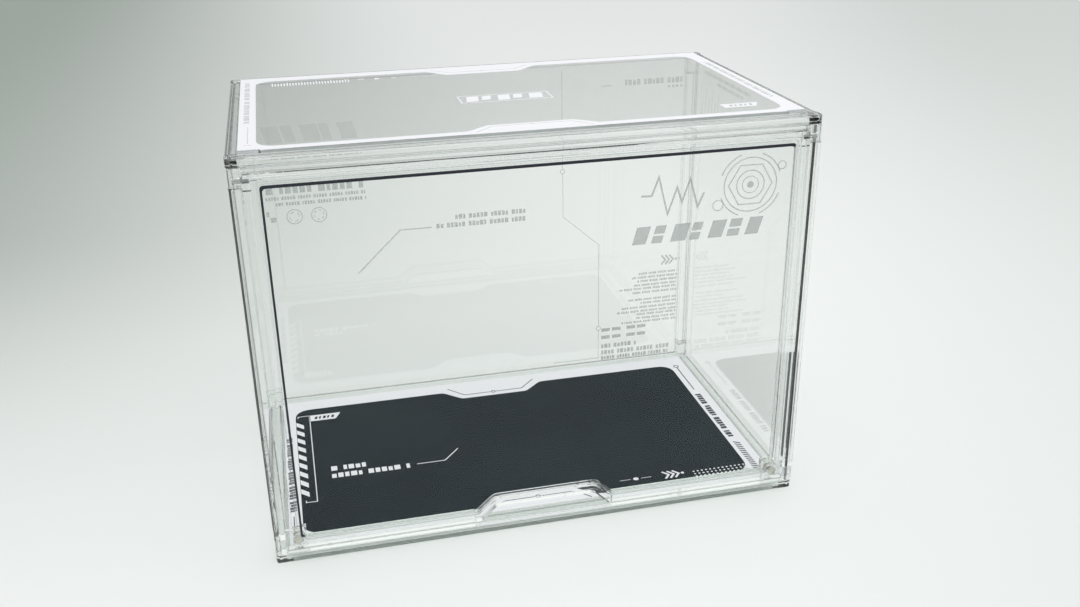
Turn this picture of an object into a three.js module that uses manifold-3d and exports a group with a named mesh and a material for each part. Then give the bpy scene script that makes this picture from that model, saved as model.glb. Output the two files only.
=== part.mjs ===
// A clear plastic shoe display box with a door that lifts up at the front.
// Millimetres, +Z up, +X to the right seen from the front, the door on the -Y side.
// The origin is the middle of the box's footprint, on the surface it stands on.

import * as THREE from "three";
import { mergeVertices } from "three/addons/utils/BufferGeometryUtils.js";
import Module from "manifold-3d";

const wasm = await Module();
wasm.setup();

// ---------------------------------------------------------------- driving dimensions

const WIDTH = 360; // left to right over the rails
const DEPTH = 221; // front to back over the rails
const RAIL_TOP = 270; // top of the roof rails
const ROOF_TOP = 271.5; // top of the raised roof panel
const GAP = 0.3; // between pieces that touch
const SHEET = 2; // thickness of the wall panels

const HALF_WIDTH = WIDTH / 2;
const FRONT = -DEPTH / 2;
const BACK = DEPTH / 2;

const CORNER_RADIUS = 5; // plan rounding of the roof and base rails
const ROOF_RAIL_HEIGHT = 5.2;
const BASE_RAIL_HEIGHT = 6;
const SIDE_RAIL_WIDTH = 6.7; // left and right rails, seen from above
const END_RAIL_WIDTH = 9.9; // front and back rails, seen from above
const LEDGE_WIDTH = 4.2; // carries the roof and base panels
const RAIL_NOSE = 2.8; // rounding along the roof end rails' outer edge
const GROOVED_RAIL_NOSE = 1.6; // the same on the roof side rails, beside their groove
const BASE_RAIL_NOSE = 2; // rounding along the base rails' lower edge
const BASE_STEP_REACH = 1.1; // step on the base rails that the floor panel meets
const BASE_STEP_RISE = 0.6;

const BLOCK_HEIGHT = 11; // corner blocks between the rails and the posts
const BLOCK_INSET = 0.5; // they stand a little inside the rails
const BLOCK_DEPTH = 11.5;
const BASE_BLOCK_BOTTOM = BASE_RAIL_HEIGHT + GAP;
const ROOF_BLOCK_CLEARANCE = 0.6; // under the roof rails
const ROOF_BLOCK_TOP = RAIL_TOP - ROOF_RAIL_HEIGHT - ROOF_BLOCK_CLEARANCE;

const POST_INSET = 0.3;
const FRONT_POST_WIDTH = 7.4;
const BACK_POST_WIDTH = 9.7;
const POST_DEPTH = 10.7;
const POST_BOTTOM = BASE_BLOCK_BOTTOM + BLOCK_HEIGHT + GAP;
const POST_TOP = ROOF_BLOCK_TOP - BLOCK_HEIGHT - GAP;

const PANEL_INSET = 1.6; // outer face of the wall panels from the rails' outer face
const PANEL_END_INSET = 8.9; // where the wall panels stop inside the posts
const PANEL_FOOT_CLEARANCE = 0.4; // over the base rails
const PANEL_HEAD_CLEARANCE = 0.5; // under the roof rails
const FLOOR_PANEL_DROP = 0.5; // floor panel's top below the base rails' top
const FLOOR_SHEET_MARGIN = 2.4; // printed sheet's edge from the base rails
const FLOOR_SHEET_THICKNESS = 0.4;

const DOOR_SIDE = 8.1; // gap and post beside the door
const DOOR_BOTTOM = 9.4;
const DOOR_TOP = 260.6;
const DOOR_BOTTOM_CLEARANCE = 0.5; // over the sill
const DOOR_TOP_CLEARANCE = 0.6; // under the lintel
const DOOR_THICKNESS = 7.2;
const WINDOW_SIDE = 17.2; // window edge from the box's side
const WINDOW_BOTTOM = 17.3;
const WINDOW_TOP = 253.8;
const OUTER_LIP_WIDTH = 4.3;
const OUTER_LIP_SETBACK = 0.9;
const SHOULDER_OVERLAP = 0.8; // how far the inner lip reaches into the outer one
const INNER_LIP_THICKNESS = 4.4;
const PANE_FRONT = 1.5; // behind the door's front face
const PANE_THICKNESS = 1.6;
const PANE_GRIP = 1.6; // how far the pane reaches into its groove

const PULL_BOTTOM_HALF = 43.7; // finger notch in the door's lower edge
const PULL_TOP_HALF = 34;
const PULL_TOP = 19.3;
const PULL_BAND = 8.6; // height of the rail over the notch
const PULL_FOOT_RADIUS = 1.5;
const PULL_TOP_RADIUS = 3;

const PIVOT_BEHIND_FRONT = DOOR_THICKNESS / 2;
const PIVOT_HEIGHT = DOOR_TOP - DOOR_THICKNESS / 2;
const PIN_RADIUS = 1.5;
const PIN_INNER_INSET = 11.9;
const PIN_OUTER_INSET = 3;

const MAGNET_RADIUS = 3;
const MAGNET_INSET = 15.4;
const MAGNET_HEIGHT = 15;
const MAGNET_THICKNESS = 2.6;
const MAGNET_BOSS_RADIUS = 4.8;

const STOP_FRONT = 7.9; // the strip behind the door that it closes against
const STOP_THICKNESS = 3;
const STOP_REACH = 4.9; // how far it stands out from the front posts
const STOP_FOOT_CLEARANCE = 0.4; // over the magnet lugs
const STOP_HEAD_CLEARANCE = 3.5; // under the top of the posts
const LINTEL_LIP = 4.6; // how far the lintel's lip hangs behind the door
const SILL_LIP = 4.7; // how far the sill's lips stand behind the door
const SILL_LIP_FROM_NOTCH = 4; // where they stop beside the finger notch
const LUG_WIDTH = 21; // magnet lug beside the base corners
const LUG_TOP = 20.5;

const STRIP_FRONT = 0.4; // lintel and sill, behind the rails' front face
const STRIP_END_CLEARANCE = 0.2;
const SILL_STEP = 0.4; // the sill's front part stops this far before its rear part's face
const STRIP_HALF = HALF_WIDTH - DOOR_SIDE - STRIP_END_CLEARANCE;
const STOP_BACK = STOP_FRONT + STOP_THICKNESS;

// ---------------------------------------------------------------- finishes

function plastic(color, roughness) {
  return new THREE.MeshStandardMaterial({ color, roughness, metalness: 0, transparent: true, opacity: 0.4 });
}

const clearPanel = plastic(0xe8eeec, 0.05);
const clearRail = plastic(0xcdd5d3, 0.08);
const clearDoor = plastic(0xdfe6e5, 0.06);
const printedSheet = new THREE.MeshStandardMaterial({ color: 0x343e44, roughness: 0.45, metalness: 0 });
const steel = new THREE.MeshStandardMaterial({ color: 0x9a9c9e, roughness: 0.3, metalness: 1 });
const nickel = new THREE.MeshStandardMaterial({ color: 0xd9d7cd, roughness: 0.35, metalness: 0.9 });

// ---------------------------------------------------------------- shape helpers

// Draws a shape through its points, each [u, v] or [u, v, radius] for a rounded corner.
function outline(points) {
  const shape = new THREE.Shape();
  points.forEach(([u, v, radius = 0], index) => {
    const corner = new THREE.Vector2(u, v);
    const before = new THREE.Vector2(...points.at(index - 1).slice(0, 2)).sub(corner).setLength(radius);
    const next = points[(index + 1) % points.length];
    const after = new THREE.Vector2(...next.slice(0, 2)).sub(corner).setLength(radius);
    const start = corner.clone().add(before);
    const end = corner.clone().add(after);
    if (index === 0) {
      shape.moveTo(start.x, start.y);
    } else {
      shape.lineTo(start.x, start.y);
    }
    if (radius > 0) {
      shape.quadraticCurveTo(corner.x, corner.y, end.x, end.y);
    }
  });
  shape.closePath();
  return shape;
}

function rectangle(halfWidth, low, high, radius = 0) {
  return outline([
    [-halfWidth, low, radius],
    [halfWidth, low, radius],
    [halfWidth, high, radius],
    [-halfWidth, high, radius],
  ]);
}

// Where a drawn outline's two directions and its extrusion point in the box's frame.
const DIRECTIONS = {
  x: [new THREE.Vector3(0, 1, 0), new THREE.Vector3(0, 0, 1), new THREE.Vector3(1, 0, 0)],
  y: [new THREE.Vector3(-1, 0, 0), new THREE.Vector3(0, 0, 1), new THREE.Vector3(0, 1, 0)],
  z: [new THREE.Vector3(1, 0, 0), new THREE.Vector3(0, 1, 0), new THREE.Vector3(0, 0, 1)],
};

// Extrudes an outline along an axis from low to high. Along y, the outline's u runs to -X.
function prism(axis, shape, low, high, curveSegments = 4) {
  const depth = high - low;
  const geometry = new THREE.ExtrudeGeometry(shape, { depth, bevelEnabled: false, curveSegments });
  geometry.translate(0, 0, low);
  geometry.applyMatrix4(new THREE.Matrix4().makeBasis(...DIRECTIONS[axis]));
  return solid(geometry);
}

function block(x, y, z) {
  const geometry = new THREE.BoxGeometry(x[1] - x[0], y[1] - y[0], z[1] - z[0]);
  geometry.translate((x[0] + x[1]) / 2, (y[0] + y[1]) / 2, (z[0] + z[1]) / 2);
  return solid(geometry);
}

// A round bar along x or y from low to high. aside is its axis's place on the other one of x and y.
function bar(axis, radius, low, high, aside, height, sides = 20) {
  const geometry = new THREE.CylinderGeometry(radius, radius, high - low, sides);
  if (axis === "x") {
    geometry.rotateZ(-Math.PI / 2);
    geometry.translate((low + high) / 2, aside, height);
  } else {
    geometry.translate(aside, (low + high) / 2, height);
  }
  return solid(geometry);
}

function solid(geometry) {
  const bare = geometry.clone();
  bare.deleteAttribute("normal");
  bare.deleteAttribute("uv");
  const merged = mergeVertices(bare, 1e-5);
  const vertProperties = new Float32Array(merged.attributes.position.array);
  const triVerts = new Uint32Array(merged.index.array);
  return new wasm.Manifold(new wasm.Mesh({ numProp: 3, vertProperties, triVerts }));
}

function join(...solids) {
  return solids.reduce((whole, piece) => whole.add(piece));
}

function cut(whole, ...tools) {
  return tools.reduce((rest, tool) => rest.subtract(tool), whole);
}

function mesh(name, shape, material) {
  const { vertProperties, triVerts } = shape.getMesh();
  const geometry = new THREE.BufferGeometry();
  geometry.setAttribute("position", new THREE.Float32BufferAttribute(vertProperties, 3));
  geometry.setIndex(new THREE.BufferAttribute(triVerts, 1));
  geometry.computeVertexNormals();
  const piece = new THREE.Mesh(geometry, material);
  piece.name = name;
  return piece;
}

// Places given as distances in from the side wall (x) and from the front or back wall (y).
// side is -1 for left and 1 for right; end is -1 for front and 1 for back.
function fromSide(side, near, far) {
  return [side * (HALF_WIDTH - near), side * (HALF_WIDTH - far)].sort((a, b) => a - b);
}

function fromEnd(end, near, far) {
  return [end * (BACK - near), end * (BACK - far)].sort((a, b) => a - b);
}

const SIDES = [
  ["left", -1],
  ["right", 1],
];
const ENDS = [
  ["front", -1],
  ["back", 1],
];

// ---------------------------------------------------------------- rails

const ROOF_LEDGE = { low: 266.4, high: 269.1 };
const BASE_LEDGE = { low: 2.2, high: 3.6 };
const RAIL_GROOVE = { near: 2.6, far: 3.6, depth: 1 };

const plan = rectangle(HALF_WIDTH, FRONT, BACK, CORNER_RADIUS);

// A rail's section with the outer face at u = 0 and its width along +u.
function roofRailOutline(railWidth, grooved) {
  const low = RAIL_TOP - ROOF_RAIL_HEIGHT;
  const groove = [
    [RAIL_GROOVE.far, RAIL_TOP],
    [RAIL_GROOVE.far, RAIL_TOP - RAIL_GROOVE.depth],
    [RAIL_GROOVE.near, RAIL_TOP - RAIL_GROOVE.depth],
    [RAIL_GROOVE.near, RAIL_TOP],
  ];
  const nose = grooved ? GROOVED_RAIL_NOSE : RAIL_NOSE;
  return [
    [0, low],
    [railWidth, low],
    [railWidth, RAIL_TOP],
    ...(grooved ? groove : []),
    [0, RAIL_TOP, nose],
  ];
}

function baseRailOutline(railWidth) {
  return [
    [0, 0, BASE_RAIL_NOSE],
    [railWidth, 0],
    [railWidth, BASE_LEDGE.high],
    [railWidth + BASE_STEP_REACH, BASE_LEDGE.high + BASE_STEP_RISE],
    [railWidth + BASE_STEP_REACH, BASE_RAIL_HEIGHT],
    [0, BASE_RAIL_HEIGHT],
  ];
}

function placed(points, toAcross) {
  return outline(points.map(([u, v, radius]) => [toAcross(u), v, radius]));
}

function endRail(level, end) {
  const roof = level === "roof";
  const points = roof ? roofRailOutline(END_RAIL_WIDTH, false) : baseRailOutline(END_RAIL_WIDTH);
  const ledge = roof ? ROOF_LEDGE : BASE_LEDGE;
  const profile = placed(points, (u) => end * (BACK - u));
  const body = prism("x", profile, -HALF_WIDTH, HALF_WIDTH, 6);
  const rounded = body.intersect(prism("z", plan, 0, RAIL_TOP + 1, 6));
  const ledgeHalf = HALF_WIDTH - SIDE_RAIL_WIDTH - LEDGE_WIDTH - GAP;
  const ledgeY = fromEnd(end, END_RAIL_WIDTH - 1, END_RAIL_WIDTH + LEDGE_WIDTH);
  return rounded.add(block([-ledgeHalf, ledgeHalf], ledgeY, [ledge.low, ledge.high]));
}

function sideRail(level, side) {
  const roof = level === "roof";
  const points = roof ? roofRailOutline(SIDE_RAIL_WIDTH, true) : baseRailOutline(SIDE_RAIL_WIDTH);
  const ledge = roof ? ROOF_LEDGE : BASE_LEDGE;
  const clearOfEnds = BACK - END_RAIL_WIDTH - GAP - (roof ? 0 : BASE_STEP_REACH);
  const profile = placed(points, (u) => -side * (HALF_WIDTH - u));
  const body = prism("y", profile, -clearOfEnds, clearOfEnds, 6);
  const ledgeX = fromSide(side, SIDE_RAIL_WIDTH - 1, SIDE_RAIL_WIDTH + LEDGE_WIDTH);
  return body.add(block(ledgeX, [-clearOfEnds, clearOfEnds], [ledge.low, ledge.high]));
}

// ---------------------------------------------------------------- roof, floor and walls

const HOOK_NOTCH = { length: 12.5, depth: 1.8 };
const FLOOR_PANEL_TOP = BASE_RAIL_HEIGHT - FLOOR_PANEL_DROP;

function roofPanel() {
  const halfX = HALF_WIDTH - SIDE_RAIL_WIDTH - GAP;
  const halfY = BACK - END_RAIL_WIDTH - GAP;
  const plate = prism("z", rectangle(halfX, -halfY, halfY, 1.2), ROOF_LEDGE.high + GAP, ROOF_TOP);
  const notches = SIDES.map(([, side]) => {
    const x = [side * (halfX + 1), side * (halfX - HOOK_NOTCH.length)].sort((a, b) => a - b);
    return block(x, [-halfY - 1, -halfY + HOOK_NOTCH.depth], [0, ROOF_TOP + 1]);
  });
  return cut(plate, ...notches);
}

function floorPanel() {
  const halfX = HALF_WIDTH - SIDE_RAIL_WIDTH - BASE_STEP_REACH - GAP;
  const halfY = BACK - END_RAIL_WIDTH - BASE_STEP_REACH - GAP;
  const low = BASE_LEDGE.high + GAP;
  return prism("z", rectangle(halfX, -halfY, halfY, 1), low, FLOOR_PANEL_TOP);
}

function floorSheet() {
  const halfX = HALF_WIDTH - SIDE_RAIL_WIDTH - FLOOR_SHEET_MARGIN;
  const halfY = BACK - END_RAIL_WIDTH - FLOOR_SHEET_MARGIN;
  const low = FLOOR_PANEL_TOP + GAP;
  return prism("z", rectangle(halfX, -halfY, halfY, 1.5), low, low + FLOOR_SHEET_THICKNESS);
}

const WALL_LOW = BASE_RAIL_HEIGHT + PANEL_FOOT_CLEARANCE;
const WALL_HIGH = RAIL_TOP - ROOF_RAIL_HEIGHT - PANEL_HEAD_CLEARANCE;

function sidePanel(side) {
  const y = [FRONT + PANEL_END_INSET, BACK - PANEL_END_INSET];
  return block(fromSide(side, PANEL_INSET, PANEL_INSET + SHEET), y, [WALL_LOW, WALL_HIGH]);
}

function backPanel() {
  const x = [-HALF_WIDTH + PANEL_END_INSET, HALF_WIDTH - PANEL_END_INSET];
  return block(x, fromEnd(1, PANEL_INSET, PANEL_INSET + SHEET), [WALL_LOW, WALL_HIGH]);
}

const PAST_THE_POSTS = 20; // an inset that lies inside every post and block

// The slots that a wall panel's edges stand in, cut from the posts and the corner blocks.
function panelSlots(side, end, height) {
  const across = [PANEL_INSET - GAP, PANEL_INSET + SHEET + GAP];
  const along = [PANEL_END_INSET - GAP, PAST_THE_POSTS];
  const sideSlot = block(fromSide(side, ...across), fromEnd(end, ...along), height);
  const backSlot = block(fromSide(side, ...along), fromEnd(end, ...across), height);
  return end > 0 ? [sideSlot, backSlot] : [sideSlot];
}

// ---------------------------------------------------------------- posts and corner blocks

const POST_GROOVE = { near: 2.6, far: 3.4, depth: 0.9 };
const UPRIGHT_ROUNDING = 1.6;

// A square upright with its outer corner rounded, from inset to far across and to deep front to back.
function upright(side, end, inset, far, deep, low, high) {
  const outerX = side * (HALF_WIDTH - inset);
  const innerX = side * (HALF_WIDTH - far);
  const outerY = end * (BACK - inset);
  const innerY = end * (BACK - deep);
  const section = outline([
    [outerX, outerY, UPRIGHT_ROUNDING],
    [innerX, outerY],
    [innerX, innerY],
    [outerX, innerY],
  ]);
  return prism("z", section, low, high, 5);
}

function post(side, end) {
  const width = end < 0 ? FRONT_POST_WIDTH : BACK_POST_WIDTH;
  const far = POST_INSET + width;
  const column = upright(side, end, POST_INSET, far, POST_INSET + POST_DEPTH, POST_BOTTOM, POST_TOP);
  const height = [POST_BOTTOM - 1, POST_TOP + 1];
  const groove = block(
    fromSide(side, POST_GROOVE.near, POST_GROOVE.far),
    fromEnd(end, -1, POST_INSET + POST_GROOVE.depth),
    height,
  );
  const slotted = cut(column, groove, ...panelSlots(side, end, height));
  if (end > 0) {
    return slotted;
  }
  const stop = block(
    fromSide(side, far - 1, far + STOP_REACH),
    fromEnd(end, STOP_FRONT, STOP_BACK),
    [LUG_TOP + STOP_FOOT_CLEARANCE, POST_TOP - STOP_HEAD_CLEARANCE],
  );
  return slotted.add(stop);
}

function cornerBlock(level, side, end) {
  const roof = level === "roof";
  const low = roof ? ROOF_BLOCK_TOP - BLOCK_HEIGHT : BASE_BLOCK_BOTTOM;
  const high = low + BLOCK_HEIGHT;
  const far = POST_INSET + (end < 0 ? FRONT_POST_WIDTH : BACK_POST_WIDTH);
  const body = upright(side, end, BLOCK_INSET, far, BLOCK_INSET + BLOCK_DEPTH, low, high);
  const slotted = cut(body, ...panelSlots(side, end, [low - 1, high + 1]));
  if (end > 0) {
    return slotted;
  }
  if (roof) {
    return slotted.subtract(pinHole(side, PIN_OUTER_INSET - GAP, far + 1));
  }
  return withMagnetLug(slotted, side, far);
}

function pinHole(side, near, far) {
  const [low, high] = fromSide(side, near, far);
  return bar("x", PIN_RADIUS + GAP, low, high, FRONT + PIVOT_BEHIND_FRONT, PIVOT_HEIGHT);
}

// The base blocks at the front reach behind the door and hold the magnets that catch it.
function withMagnetLug(body, side, far) {
  const y = fromEnd(-1, STOP_FRONT, BLOCK_INSET + BLOCK_DEPTH);
  const lug = block(fromSide(side, far + GAP, LUG_WIDTH), y, [BASE_BLOCK_BOTTOM, LUG_TOP]);
  const rootHeight = [BASE_BLOCK_BOTTOM, BASE_BLOCK_BOTTOM + BLOCK_HEIGHT];
  const root = block(fromSide(side, far - 1, far + 1), y, rootHeight);
  const pocketEnd = STOP_FRONT + MAGNET_THICKNESS + 2 * GAP;
  const pocket = magnetBar(side, MAGNET_RADIUS + GAP, STOP_FRONT - 1, pocketEnd);
  return cut(join(body, root, lug), pocket);
}

function magnetBar(side, radius, near, far) {
  const x = side * (HALF_WIDTH - MAGNET_INSET);
  return bar("y", radius, FRONT + near, FRONT + far, x, MAGNET_HEIGHT, 24);
}

// ---------------------------------------------------------------- strips over and under the door

const ACROSS = [-STRIP_HALF, STRIP_HALF];

function lintel() {
  const low = DOOR_TOP + DOOR_TOP_CLEARANCE;
  const strip = block(ACROSS, fromEnd(-1, STRIP_FRONT, STOP_BACK), [low, ROOF_BLOCK_TOP]);
  const lip = block(ACROSS, fromEnd(-1, STOP_FRONT, STOP_BACK), [low - LINTEL_LIP, low + 1]);
  return strip.add(lip);
}

function sill() {
  const high = DOOR_BOTTOM - DOOR_BOTTOM_CLEARANCE;
  const height = [BASE_BLOCK_BOTTOM, high];
  const between = HALF_WIDTH - LUG_WIDTH - SILL_STEP;
  const notchHalf = PULL_BOTTOM_HALF + SILL_LIP_FROM_NOTCH;
  const front = block(ACROSS, fromEnd(-1, STRIP_FRONT, STOP_FRONT - SILL_STEP), height);
  const rear = block([-between, between], fromEnd(-1, STOP_FRONT - 1, STOP_BACK), height);
  const lips = SIDES.map(([, side]) => {
    const x = [side * notchHalf, side * between].sort((a, b) => a - b);
    return block(x, fromEnd(-1, STOP_FRONT, STOP_BACK), [high - 1, high + SILL_LIP]);
  });
  return join(front, rear, ...lips);
}

// ---------------------------------------------------------------- door

// The door's outline at a distance in from its outer edge, with the finger notch along the bottom.
function doorOutline({ side, bottom, top, notchBottom, notchTop, notchHeight, radius }) {
  const half = HALF_WIDTH - side;
  return outline([
    [-half, bottom, radius],
    [-notchBottom, bottom, PULL_FOOT_RADIUS],
    [-notchTop, notchHeight, PULL_TOP_RADIUS],
    [notchTop, notchHeight, PULL_TOP_RADIUS],
    [notchBottom, bottom, PULL_FOOT_RADIUS],
    [half, bottom, radius],
    [half, top, radius],
    [-half, top, radius],
  ]);
}

const DOOR_RADIUS = 1.5; // corners of the door and of its window
const WINDOW_RADIUS = 2.5;

// How far the notch's feet move with each edge of the door, and the share that its top moves.
const WINDOW_NOTCH_RUN = 3.6;
const LIP_NOTCH_RUN = 1.8;
const SHOULDER_NOTCH_RUN = 1.5;
const GROOVE_NOTCH_RUN = 0.7;
const PANE_NOTCH_RUN = 0.6;
const NOTCH_TOP_SHARE = 0.4;

const DOOR_EDGE = {
  side: DOOR_SIDE,
  bottom: DOOR_BOTTOM,
  top: DOOR_TOP,
  notchBottom: PULL_BOTTOM_HALF,
  notchTop: PULL_TOP_HALF,
  notchHeight: PULL_TOP,
  radius: DOOR_RADIUS,
};
const WINDOW_EDGE = {
  side: WINDOW_SIDE,
  bottom: WINDOW_BOTTOM,
  top: WINDOW_TOP,
  notchBottom: PULL_BOTTOM_HALF + WINDOW_NOTCH_RUN,
  notchTop: PULL_TOP_HALF + WINDOW_NOTCH_RUN * NOTCH_TOP_SHARE,
  notchHeight: PULL_TOP + PULL_BAND,
  radius: WINDOW_RADIUS,
};

// An edge moved inwards by a distance, or outwards by a negative one. notchRun moves the notch's feet.
function movedIn(edge, distance, notchRun) {
  return {
    ...edge,
    side: edge.side + distance,
    bottom: edge.bottom + distance,
    top: edge.top - distance,
    notchBottom: edge.notchBottom + notchRun,
    notchTop: edge.notchTop + notchRun * NOTCH_TOP_SHARE,
    notchHeight: edge.notchHeight + distance,
  };
}

function doorSlab(edge, near, far) {
  return prism("y", doorOutline(edge), FRONT + near, FRONT + far, 4);
}

// Keeps the door's upper edge inside a half round about the pivot, so that it turns in its place.
function swingEnvelope() {
  const radius = DOOR_THICKNESS / 2;
  const axis = FRONT + PIVOT_BEHIND_FRONT;
  const shape = new THREE.Shape();
  shape.moveTo(FRONT, 0);
  shape.lineTo(FRONT + DOOR_THICKNESS, 0);
  shape.lineTo(FRONT + DOOR_THICKNESS, PIVOT_HEIGHT);
  shape.absarc(axis, PIVOT_HEIGHT, radius, 0, Math.PI, false);
  shape.closePath();
  return prism("x", shape, -HALF_WIDTH, HALF_WIDTH, 10);
}

function doorFrame() {
  const lipEdge = movedIn(DOOR_EDGE, OUTER_LIP_WIDTH, LIP_NOTCH_RUN);
  const shoulderEdge = movedIn(DOOR_EDGE, OUTER_LIP_WIDTH - SHOULDER_OVERLAP, SHOULDER_NOTCH_RUN);
  const outerLip = doorSlab(DOOR_EDGE, OUTER_LIP_SETBACK, DOOR_THICKNESS);
  const innerLip = doorSlab(shoulderEdge, 0, INNER_LIP_THICKNESS);
  const behindPane = doorSlab(lipEdge, INNER_LIP_THICKNESS, DOOR_THICKNESS + 1);
  const window = doorSlab(WINDOW_EDGE, -1, DOOR_THICKNESS + 1);
  const groove = doorSlab(
    movedIn(WINDOW_EDGE, -PANE_GRIP - GAP, -GROOVE_NOTCH_RUN),
    PANE_FRONT - GAP,
    PANE_FRONT + PANE_THICKNESS + GAP,
  );
  const ring = cut(outerLip.add(innerLip), behindPane, window, groove);
  const bosses = SIDES.map(([, side]) =>
    magnetBar(side, MAGNET_BOSS_RADIUS, OUTER_LIP_SETBACK, DOOR_THICKNESS),
  );
  const pockets = SIDES.map(([, side]) =>
    magnetBar(side, MAGNET_RADIUS + GAP, DOOR_THICKNESS - MAGNET_THICKNESS - 2 * GAP, DOOR_THICKNESS + 1),
  );
  const pinHoles = SIDES.map(([, side]) => pinHole(side, DOOR_SIDE - 1, PIN_INNER_INSET + GAP));
  return cut(join(ring, ...bosses), ...pockets, ...pinHoles).intersect(swingEnvelope());
}

function doorWindow() {
  const paneEdge = movedIn(WINDOW_EDGE, -PANE_GRIP, -PANE_NOTCH_RUN);
  const pane = doorSlab(paneEdge, PANE_FRONT, PANE_FRONT + PANE_THICKNESS);
  const clearings = SIDES.map(([, side]) => magnetBar(side, MAGNET_BOSS_RADIUS + GAP, 0, DOOR_THICKNESS));
  return cut(pane, ...clearings);
}

function hingePin(side) {
  const [low, high] = fromSide(side, PIN_OUTER_INSET, PIN_INNER_INSET);
  return bar("x", PIN_RADIUS, low, high, FRONT + PIVOT_BEHIND_FRONT, PIVOT_HEIGHT);
}

// ---------------------------------------------------------------- assembly

function cabinet() {
  const group = new THREE.Group();
  for (const [end, towards] of ENDS) {
    group.add(mesh(`roof_${end}_rail`, endRail("roof", towards), clearRail));
    group.add(mesh(`base_${end}_rail`, endRail("base", towards), clearRail));
  }
  for (const [name, side] of SIDES) {
    group.add(mesh(`roof_${name}_rail`, sideRail("roof", side), clearRail));
    group.add(mesh(`base_${name}_rail`, sideRail("base", side), clearRail));
    group.add(mesh(`${name}_side_panel`, sidePanel(side), clearPanel));
    for (const [end, towards] of ENDS) {
      group.add(mesh(`${end}_${name}_post`, post(side, towards), clearRail));
      group.add(mesh(`roof_${end}_${name}_block`, cornerBlock("roof", side, towards), clearRail));
      group.add(mesh(`base_${end}_${name}_block`, cornerBlock("base", side, towards), clearRail));
    }
    const near = STOP_FRONT + GAP;
    const catchMagnet = magnetBar(side, MAGNET_RADIUS, near, near + MAGNET_THICKNESS);
    group.add(mesh(`catch_${name}_magnet`, catchMagnet, nickel));
  }
  group.add(mesh("roof_panel", roofPanel(), clearPanel));
  group.add(mesh("floor_panel", floorPanel(), clearPanel));
  group.add(mesh("floor_sheet", floorSheet(), printedSheet));
  group.add(mesh("back_panel", backPanel(), clearPanel));
  group.add(mesh("door_lintel", lintel(), clearRail));
  group.add(mesh("door_sill", sill(), clearRail));
  return group;
}

function door() {
  const group = new THREE.Group();
  group.add(mesh("door_frame", doorFrame(), clearDoor));
  group.add(mesh("door_window", doorWindow(), clearPanel));
  for (const [name, side] of SIDES) {
    const far = DOOR_THICKNESS - GAP;
    const magnet = magnetBar(side, MAGNET_RADIUS, far - MAGNET_THICKNESS, far);
    group.add(mesh(`door_${name}_magnet`, magnet, nickel));
    group.add(mesh(`hinge_${name}_pin`, hingePin(side), steel));
  }
  return group;
}

const shoeBox = new THREE.Group();
shoeBox.add(cabinet(), door());

export default shoeBox;
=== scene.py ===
"""Looks for a clear plastic display box with a door that lifts up at the front.

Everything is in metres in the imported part's frame: +X to the right, the door on the
-Y side, +Z up, and the origin on the surface that the box stands on. Printed artwork
is drawn in millimetres on the face that it lies on.
"""

import logging
import math
from dataclasses import dataclass, field, replace
from enum import Enum
from typing import Any, Union

import bmesh
import bpy
from mathutils import Matrix, Vector
from mathutils.geometry import tessellate_polygon


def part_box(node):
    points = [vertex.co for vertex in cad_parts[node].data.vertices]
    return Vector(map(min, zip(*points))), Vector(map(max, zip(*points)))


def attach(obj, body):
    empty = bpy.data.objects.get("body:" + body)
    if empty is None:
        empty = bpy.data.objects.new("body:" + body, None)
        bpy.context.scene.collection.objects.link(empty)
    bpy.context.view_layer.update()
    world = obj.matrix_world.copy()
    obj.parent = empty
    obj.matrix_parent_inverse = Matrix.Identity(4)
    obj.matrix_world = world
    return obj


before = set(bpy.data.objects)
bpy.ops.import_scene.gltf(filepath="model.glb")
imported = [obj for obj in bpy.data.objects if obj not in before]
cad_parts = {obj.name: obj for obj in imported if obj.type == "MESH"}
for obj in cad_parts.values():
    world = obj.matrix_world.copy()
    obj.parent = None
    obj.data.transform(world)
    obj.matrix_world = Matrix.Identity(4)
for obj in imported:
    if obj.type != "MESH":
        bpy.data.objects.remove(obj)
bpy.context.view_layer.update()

LOG = logging.getLogger("display_box")
MM = 0.001

Point = tuple[float, float]
Loop = list[Point]
Colour = tuple[float, float, float]


# ------------------------------------------------------------------ shader expressions


class Value:
    """A number that changes over a surface: arithmetic on it adds Math nodes."""

    def __init__(self, shader: "Shader", socket: bpy.types.NodeSocket) -> None:
        """Wraps a socket of the shader's tree."""
        self.shader = shader
        self.socket = socket

    def math(self, operation: str, *terms: "Number") -> "Value":
        """Adds one Math node.

        Args:
            operation: the Math node's operation.
            terms: its inputs in order.

        Returns:
            The node's result.
        """
        made = self.shader.node("ShaderNodeMath", {"operation": operation}, dict(enumerate(terms)))
        return Value(self.shader, made.outputs[0])

    def __add__(self, other: "Number") -> "Value":
        """self + other."""
        return self.math("ADD", self, other)

    def __radd__(self, other: "Number") -> "Value":
        """other + self."""
        return self.math("ADD", other, self)

    def __sub__(self, other: "Number") -> "Value":
        """self - other."""
        return self.math("SUBTRACT", self, other)

    def __rsub__(self, other: "Number") -> "Value":
        """other - self."""
        return self.math("SUBTRACT", other, self)

    def __mul__(self, other: "Number") -> "Value":
        """self * other."""
        return self.math("MULTIPLY", self, other)

    def __rmul__(self, other: "Number") -> "Value":
        """other * self."""
        return self.math("MULTIPLY", other, self)

    def larger(self, other: "Number") -> "Value":
        """The larger of self and other."""
        return self.math("MAXIMUM", self, other)

    def size(self) -> "Value":
        """self without its sign."""
        return self.math("ABSOLUTE", self)


Number = Union[Value, float, int]


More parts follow.
